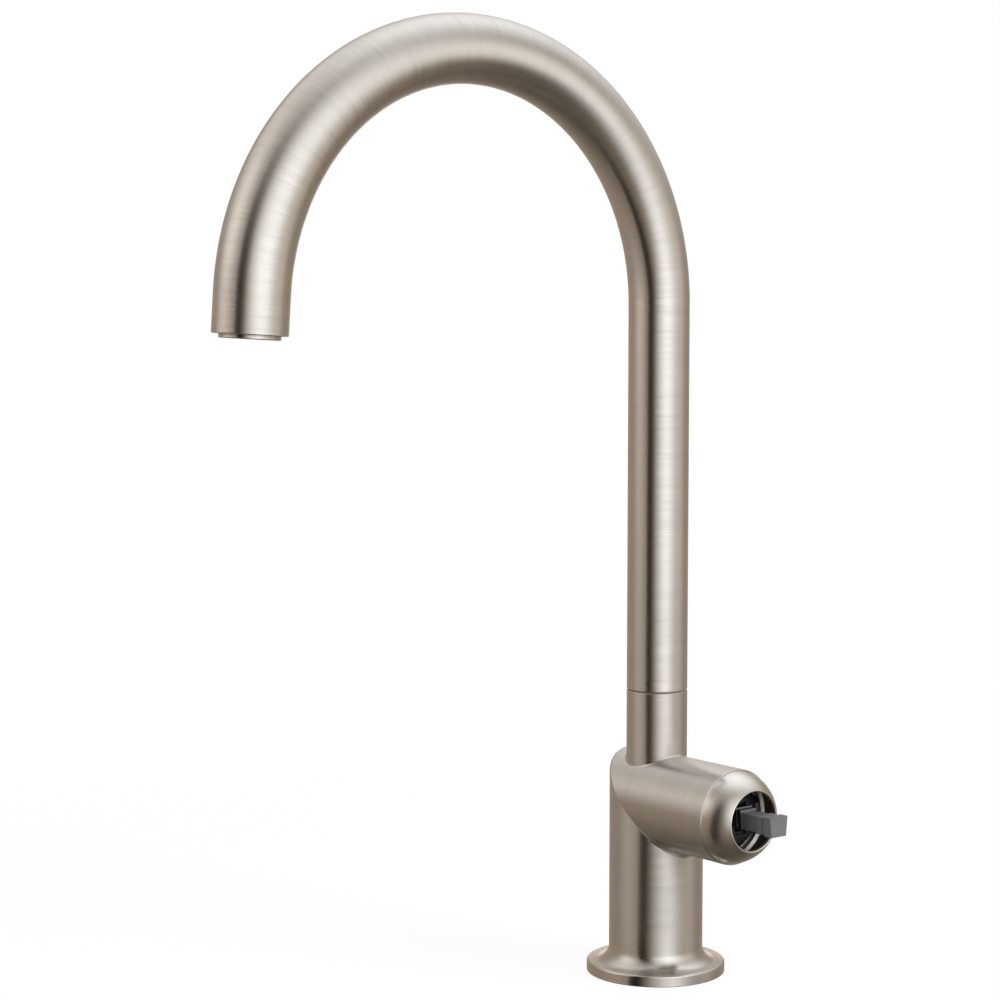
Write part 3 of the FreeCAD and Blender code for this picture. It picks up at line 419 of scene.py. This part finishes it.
def moulding(name):
    spec = mouldings[name]
    material, tree = newMaterial(name)
    place = addNode(tree, "TexCoord").outputs["Object"]
    grain = addNode(tree, "TexNoise", None, {
        "Vector": place, "Scale": 1 / spec["grain"], "Detail": mouldSkin["grainDetail"]}).outputs[0]
    cloud = addNode(tree, "TexNoise", None, {
        "Vector": place, "Scale": 1 / mouldSkin["cloud"], "Detail": mouldSkin["cloudDetail"]}).outputs[0]
    specks = addNode(tree, "TexVoronoi", {"feature": "F1"}, {
        "Vector": place, "Scale": 1 / spec["speckSize"], "Randomness": 1}).outputs[0]
    flecked = addNode(tree, "MapRange", None, {
        0: specks, 1: mouldSkin["speckSpan"][0], 2: mouldSkin["speckSpan"][1],
        3: mouldSkin["speckShare"], 4: 0}).outputs[0]
    colour = addNode(tree, "Mix", {"data_type": "RGBA"}, {
        0: cloud, 6: srgb(spec["shade"]), 7: srgb(spec["colour"])}).outputs[2]
    colour = addNode(tree, "Mix", {"data_type": "RGBA"}, {
        0: flecked, 6: colour, 7: srgb(spec["speck"])}).outputs[2]
    rough = addNode(tree, "MapRange", None, {
        0: grain, 1: mouldSkin["unevenSpan"][0], 2: mouldSkin["unevenSpan"][1],
        3: spec["roughness"] - mouldSkin["smoother"], 4: spec["roughness"] + mouldSkin["rougher"]}).outputs[0]
    edge = addNode(tree, "Bevel", {"samples": mouldSkin["edgeSamples"]}, {"Radius": spec["edge"]}).outputs[0]
    bump = addNode(tree, "Bump", None, {
        "Strength": mouldSkin["strength"], "Distance": spec["depth"],
        "Height": grain, "Normal": edge}).outputs[0]
    skin = addNode(tree, "BsdfPrincipled", None, {"Base Color": colour, "Roughness": rough, "Normal": bump})
    addNode(tree, "OutputMaterial", None, {"Surface": skin.outputs[0]})
    return material


greyNylon = moulding("nylon_glass_filled_moulded")
dress(greyNylon, "valve_stem")
blackAcetal = moulding("acetal_black_moulded")
dress(blackAcetal, "cartridge_housing", "stem_rotor", "rotor_cap", "temperature_stop")
dress(moulding("acetal_greyed_moulded"), "swivel_washer")
dress(moulding("acetal_natural_moulded"),
      "cartridge_base", "disc_carrier", "glide_bushes", "aerator_grid", "aerator_diffuser", "flow_regulator")
dress(moulding("nitrile_rubber_moulded"),
      "base_gasket", "bonnet_seal", "port_seals", "spigot_seals", "aerator_washer", "deck_seal_washer")
dress(moulding("alumina_lapped"), "fixed_disc", "moving_disc")
print("mouldings dressed")


# forms finer than the CAD, each in place of a plain CAD piece

creaseAngle = radians(30)  # sharper folds than this stay sharp, the rest is shaded round


def skinRings(bm, rings, finishes=None):
    # closed skin over a loop of rings; finishes: which material each band between two rings takes
    loops = [[bm.verts.new(spot) for spot in ring] for ring in rings]
    for ring, following, finish in zip(loops, loops[1:] + loops[:1], finishes or [0] * len(rings)):
        for i in range(len(ring)):
            j = (i + 1) % len(ring)
            face = bm.faces.new((ring[i], ring[j], following[j], following[i]))
            face.material_index = finish


def finePiece(name, bm, materials, body, plainNode):
    bmesh.ops.recalc_face_normals(bm, faces=bm.faces)
    mesh = bpy.data.meshes.new(name)
    bm.to_mesh(mesh)
    bm.free()
    mesh.shade_smooth()
    mesh.set_sharp_from_angle(angle=creaseAngle)
    for material in materials:
        mesh.materials.append(material)
    piece = bpy.data.objects.new(name, mesh)
    scene.collection.objects.link(piece)
    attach(piece, body)
    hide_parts(plainNode)


# shank with its real thread
shankThread = {
    "pitch": 1.5 * mm,
    "depth": 0.75 * mm,
    "flat": 0.15,  # share of the pitch along the crest, and as much along the root
    "bore": 11.6 * mm,
    "segments": 48,
    "rows": 6,  # rings to each pitch
}


def threadedShank(spec):
    low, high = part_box("mounting_shank")
    rowCount = round((high.z - low.z) / spec["pitch"] * spec["rows"])
    turns = [i / spec["segments"] for i in range(spec["segments"])]

    def threadRadius(z, turn):
        flank = abs(2 * (((z - low.z) / spec["pitch"] - turn) % 1) - 1)
        cutIn = min(1, max(0, (flank - spec["flat"]) / (1 - 2 * spec["flat"])))
        return high.x - spec["depth"] * cutIn

    def circle(z, radii):
        angles = [2 * pi * turn for turn in turns]
        return [(sin(angle) * radius, -cos(angle) * radius, z) for angle, radius in zip(angles, radii)]

    plain = [spec["bore"]] * spec["segments"]
    root = [high.x - spec["depth"]] * spec["segments"]
    rings = [circle(low.z, plain), circle(low.z, root)]
    for row in range(1, rowCount):
        z = low.z + (high.z - low.z) * row / rowCount
        rings.append(circle(z, [threadRadius(z, turn) for turn in turns]))
    rings += [circle(high.z, root), circle(high.z, plain)]
    bm = bmesh.new()
    skinRings(bm, rings)
    finePiece("shank_thread", bm, [uprightBrass], "body", "mounting_shank")


threadedShank(shankThread)

# cartridge nut with the chamfer in its mouth, which shows as a bright arc inside the opening
nutChamfer = {"chamfer": 1.05 * mm, "bore": 16.1 * mm, "hole": 11.58 * mm, "floor": 2.4 * mm, "segments": 96}


def chamferedNut(spec):
    low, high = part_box("cartridge_nut")
    outer = (high.z - low.z) / 2
    floor = low.x + spec["floor"]
    mouth = spec["bore"] + spec["chamfer"]
    profile = [(low.x, spec["hole"]), (low.x, outer), (high.x, outer), (high.x, mouth),
               (high.x - spec["chamfer"], spec["bore"]), (floor, spec["bore"]), (floor, spec["hole"])]
    angles = [2 * pi * i / spec["segments"] for i in range(spec["segments"])]
    bm = bmesh.new()
    skinRings(bm, [[(x, cos(a) * radius, pivot.z + sin(a) * radius) for a in angles]
                   for x, radius in profile])
    finePiece("nut_chamfered", bm, [platedNut], "body", "cartridge_nut")


chamferedNut(nutChamfer)

# stem with a stepped foot, and its groove as wide as it shows
stemSteps = {
    "inset": 0.7 * mm,  # shoulder below the head, all round
    "narrower": 0.75 * mm,  # each side at the underside
    "grooveBack": 4.8 * mm,  # from the tip
    "grooveReach": 0.1 * mm,  # how near to that a point of the groove's rear wall lies
    "grooveWider": 0.8 * mm,
    "back": 20.8 * mm,
    # each step of the foot: its front from the tip, its height over the shoulder, its stand at the sides
    "foot": [(20.0 * mm, 1.7 * mm, 0.4 * mm), (17.7 * mm, 1.05 * mm, 0.2 * mm)],
    "footPaintedShade": [1, 1, 0, 1, 0, 1],  # black tops and sides as painted shade, its two front walls in the stem's grey where the light falls
    "gap": 0.02 * mm,
    "weld": 0.001 * mm,
}


def steppedStem(spec):
    low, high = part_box("valve_stem")
    top, bottom = high.z - spec["inset"], low.z + spec["inset"]
    wide = high.y - spec["inset"]
    narrow = wide - spec["narrower"]
    bm = bmesh.new()
    plain = nodes["valve_stem"].data
    spots = [bm.verts.new(vert.co) for vert in plain.vertices]
    for face in plain.polygons:
        bm.faces.new([spots[i] for i in face.vertices])
    bmesh.ops.remove_doubles(bm, verts=bm.verts, dist=spec["weld"])
    for vert in bm.verts:
        if abs(high.x - vert.co.x - spec["grooveBack"]) < spec["grooveReach"]:
            vert.co.x -= spec["grooveWider"]

    def sleeve(back, rise, stand):
        x = high.x - back
        return [(x, -wide - stand, top + rise), (x, -narrow - stand, bottom - stand),
                (x, narrow + stand, bottom - stand), (x, wide + stand, top + rise)]

    fit = (spec["gap"], spec["gap"])
    (middle, *tall), (front, *short) = spec["foot"]
    # the foot's black bands are painted shade; its lit front walls keep the stem's grey
    skinRings(bm, [sleeve(spec["back"], *fit), sleeve(spec["back"], *tall), sleeve(middle, *tall),
                   sleeve(middle, *short), sleeve(front, *short), sleeve(front, *fit)], spec["footPaintedShade"])
    finePiece("stem_stepped", bm, [greyNylon, blackAcetal], "stem", "valve_stem")


steppedStem(stemSteps)
print("shank threaded, nut chamfered, stem stepped")


# camera at the photo's viewing angle; angles in degrees, lens and sensor in millimetres

photo = {"azimuth": 48.146, "distance": 1121.65 * mm, "height": 307.3 * mm, "turn": 3.364, "tilt": 5.501,
         "lens": 97.25, "sensor": 36, "nearest": 50 * mm}


def photoCamera():
    data = bpy.data.cameras.new("photo_camera")
    data.lens = photo["lens"]
    data.sensor_width = photo["sensor"]
    data.clip_start = photo["nearest"]
    item = bpy.data.objects.new("photo_camera", data)
    scene.collection.objects.link(item)
    stand, look = radians(photo["azimuth"]), radians(photo["azimuth"] + photo["turn"])
    item.location = (sin(stand) * photo["distance"], -cos(stand) * photo["distance"], photo["height"])
    item.rotation_euler = (radians(90 - photo["tilt"]), 0, look)
    scene.camera = item


photoCamera()

# studio: a round tent of pale cloth with softboxes and a black flag, seen by the metal and not by the camera
# turn: degrees to the right of the camera; rise: degrees above the horizon; pairs are soft edges in degrees

tent = {
    "radius": 3.0,
    "lift": 60 * mm,
    "columns": 180,
    "rows": 90,
    "rise": (-89.5, 89.5),
    "colour": "#ffecd9",
    "roofColour": "#fff8f2",
    "floor": 0.13,  # how brightly the cloth glows at each height
    "wall": 0.43,
    "roof": 0.54,
    "wallRise": (-76, -4),
    "roofRise": (-4, 50),
}
drawnIn = {  # where the tent's walls come nearer, and by what share of its radius
    "right": {"turn": 70, "width": (20, 75), "share": 0.58},
    "left": {"turn": -110, "width": (20, 60), "share": 0.5},
}
softboxes = {  # each covers those before it
    "back": {"turn": 180, "rise": 0, "size": (0, 19), "level": 1.7, "colour": "#fff8f0"},
    "side": {"turn": 80, "rise": 9, "size": (0, 46), "level": 0.98, "colour": "#fff9f2"},
    "key": {"turn": 32, "rise": 11, "size": (4, 54), "level": 2.3, "colour": "#f4f8ff"},
    "left": {"turn": -76, "rise": 28, "size": (0, 37), "level": 1.5, "colour": "#fffaf8"},
    "shade": {"turn": 64, "rise": -38, "size": (5, 36), "level": 0.1, "colour": "#fff0e2"},  # dark cloth
    "leftHigh": {"turn": -118, "rise": 46, "size": (0, 30), "level": 1.0, "colour": "#fffaf8"},
    "top": {"turn": 155, "rise": 68, "size": (6, 56), "level": 1.82, "colour": "#f4f8ff"},
}
flag = {"left": (-45, -40), "right": (-29, -4), "low": (-75, -38), "high": (20, 62), "lean": 0.2}


def smooth(edge, value):
    t = min(1, max(0, (value - edge[0]) / (edge[1] - edge[0])))
    return t * t * (3 - 2 * t)


def towards(turn, rise):
    angle = radians(photo["azimuth"] + turn)
    return Vector((sin(angle) * cos(radians(rise)), -cos(angle) * cos(radians(rise)), sin(radians(rise))))


def tentGlow(turn, rise):
    up, over = smooth(tent["wallRise"], rise), smooth(tent["roofRise"], rise)
    level = tent["floor"] + (tent["wall"] - tent["floor"]) * up + (tent["roof"] - tent["wall"]) * over
    colour = Vector(srgb(tent["colour"])[:3]).lerp(Vector(srgb(tent["roofColour"])[:3]), over)
    light = colour * level
    for softbox in softboxes.values():
        away = degrees(towards(turn, rise).angle(towards(softbox["turn"], softbox["rise"])))
        lit = Vector(srgb(softbox["colour"])[:3]) * softbox["level"]
        light = light.lerp(lit, 1 - smooth(softbox["size"], away))
    leaned = turn - flag["lean"] * rise
    band = smooth(flag["left"], leaned) * (1 - smooth(flag["right"], leaned))
    tall = smooth(flag["low"], rise) * (1 - smooth(flag["high"], rise))
    return light * (1 - band * tall)


def wallRadius(turn):
    drawn = [side["share"] * (1 - smooth(side["width"], abs(turn - side["turn"])))
             for side in drawnIn.values()]
    return tent["radius"] * (1 - sum(drawn))


def clothTent():
    bm = bmesh.new()
    glow = bm.verts.layers.float_vector.new("glow")
    lowest, highest = tent["rise"]
    rings = []
    for row in range(tent["rows"] + 1):
        rise = lowest + (highest - lowest) * row / tent["rows"]
        ring = []
        for column in range(tent["columns"]):
            turn = -180 + 360 * column / tent["columns"]
            vert = bm.verts.new(towards(turn, rise) * wallRadius(turn))
            vert[glow] = tentGlow(turn, rise)
            ring.append(vert)
        rings.append(ring)
    for low, high in zip(rings, rings[1:]):
        for i in range(tent["columns"]):
            j = (i + 1) % tent["columns"]
            bm.faces.new((low[i], low[j], high[j], high[i]))
    bm.faces.new(rings[0])
    bm.faces.new(rings[-1])
    mesh = bpy.data.meshes.new("cloth_tent")
    bm.to_mesh(mesh)
    bm.free()
    material, tree = newMaterial("lit_tent_cloth")
    light = addNode(tree, "Attribute", {"attribute_name": "glow"}).outputs["Vector"]
    cloth = addNode(tree, "Emission", None, {"Color": light, "Strength": 1})
    addNode(tree, "OutputMaterial", None, {"Surface": cloth.outputs[0]})
    material.cycles.emission_sampling = "NONE"
    mesh.materials.append(material)
    item = bpy.data.objects.new("cloth_tent", mesh)
    item.location.z = tent["lift"]
    scene.collection.objects.link(item)
    item.visible_camera = False
    item.visible_shadow = False


clothTent()

# lamp for the plastics: it models the stem's faces and leaves no highlight on the metal
plasticLamp = {"turn": 66, "rise": 28, "distance": 1.2, "size": 0.5, "watts": 14, "colour": "#ffffff"}


def lampOnPlastics():
    data = bpy.data.lights.new("plastic_lamp", "AREA")
    data.size = plasticLamp["size"]
    data.energy = plasticLamp["watts"]
    data.color = srgb(plasticLamp["colour"])[:3]
    item = bpy.data.objects.new("plastic_lamp", data)
    scene.collection.objects.link(item)
    away = towards(plasticLamp["turn"], plasticLamp["rise"])
    item.location = pivot + away * plasticLamp["distance"]
    item.rotation_euler = away.to_track_quat("Z", "Y").to_euler()
    item.visible_glossy = False


lampOnPlastics()

# world: white where it is seen, dimmer where it only lights
backdrop = {"colour": "#ffffff", "seen": 1, "lighting": 0.6}


def whiteBackdrop():
    world = bpy.data.worlds.new("white_backdrop")
    scene.world = world
    world.use_nodes = True
    tree = world.node_tree
    tree.nodes.clear()
    path = addNode(tree, "LightPath").outputs
    seen = addNode(tree, "Math", {"operation": "MAXIMUM"}, {
        0: path["Is Camera Ray"], 1: path["Is Glossy Ray"]}).outputs[0]
    seen = addNode(tree, "Math", {"operation": "MAXIMUM"}, {
        0: seen, 1: path["Is Transmission Ray"]}).outputs[0]
    white = srgb(backdrop["colour"])
    dim = addNode(tree, "Background", None, {"Color": white, "Strength": backdrop["lighting"]})
    full = addNode(tree, "Background", None, {"Color": white, "Strength": backdrop["seen"]})
    both = addNode(tree, "MixShader", None, {0: seen, 1: dim.outputs[0], 2: full.outputs[0]})
    addNode(tree, "OutputWorld", None, {"Surface": both.outputs[0]})


whiteBackdrop()

# floor: pale paint that keeps the shadow, lifted to white for the camera, clear from below
floorPaint = {"radius": 2.9, "segments": 96, "colour": "#e7e7e7", "white": "#ffffff", "lift": 0.9,
              "fade": (0.15, 0.7)}


def paleFloor():
    mesh = bpy.data.meshes.new("floor")
    bm = bmesh.new()
    bmesh.ops.create_circle(bm, cap_ends=True, radius=floorPaint["radius"], segments=floorPaint["segments"])
    bm.to_mesh(mesh)
    bm.free()
    material, tree = newMaterial("pale_floor_paint")
    paint = addNode(tree, "BsdfDiffuse", None, {"Color": srgb(floorPaint["colour"])})
    lift = addNode(tree, "Emission", None, {"Color": srgb(floorPaint["white"]), "Strength": 1})
    place = addNode(tree, "TexCoord").outputs["Object"]
    far = addNode(tree, "VectorMath", {"operation": "LENGTH"}, {0: place}).outputs[1]
    whiter = addNode(tree, "MapRange", {"interpolation_type": "SMOOTHSTEP"}, {
        0: far, 1: floorPaint["fade"][0], 2: floorPaint["fade"][1], 3: floorPaint["lift"], 4: 1}).outputs[0]
    seen = addNode(tree, "LightPath").outputs["Is Camera Ray"]
    amount = addNode(tree, "Math", {"operation": "MULTIPLY"}, {0: seen, 1: whiter}).outputs[0]
    top = addNode(tree, "MixShader", None, {0: amount, 1: paint.outputs[0], 2: lift.outputs[0]})
    clear = addNode(tree, "BsdfTransparent")
    back = addNode(tree, "NewGeometry").outputs["Backfacing"]
    both = addNode(tree, "MixShader", None, {0: back, 1: top.outputs[0], 2: clear.outputs[0]})
    addNode(tree, "OutputMaterial", None, {"Surface": both.outputs[0]})
    mesh.materials.append(material)
    item = bpy.data.objects.new("floor", mesh)
    scene.collection.objects.link(item)
    item.visible_glossy = False


paleFloor()
scene.view_settings.view_transform = "Standard"
print("studio ready")
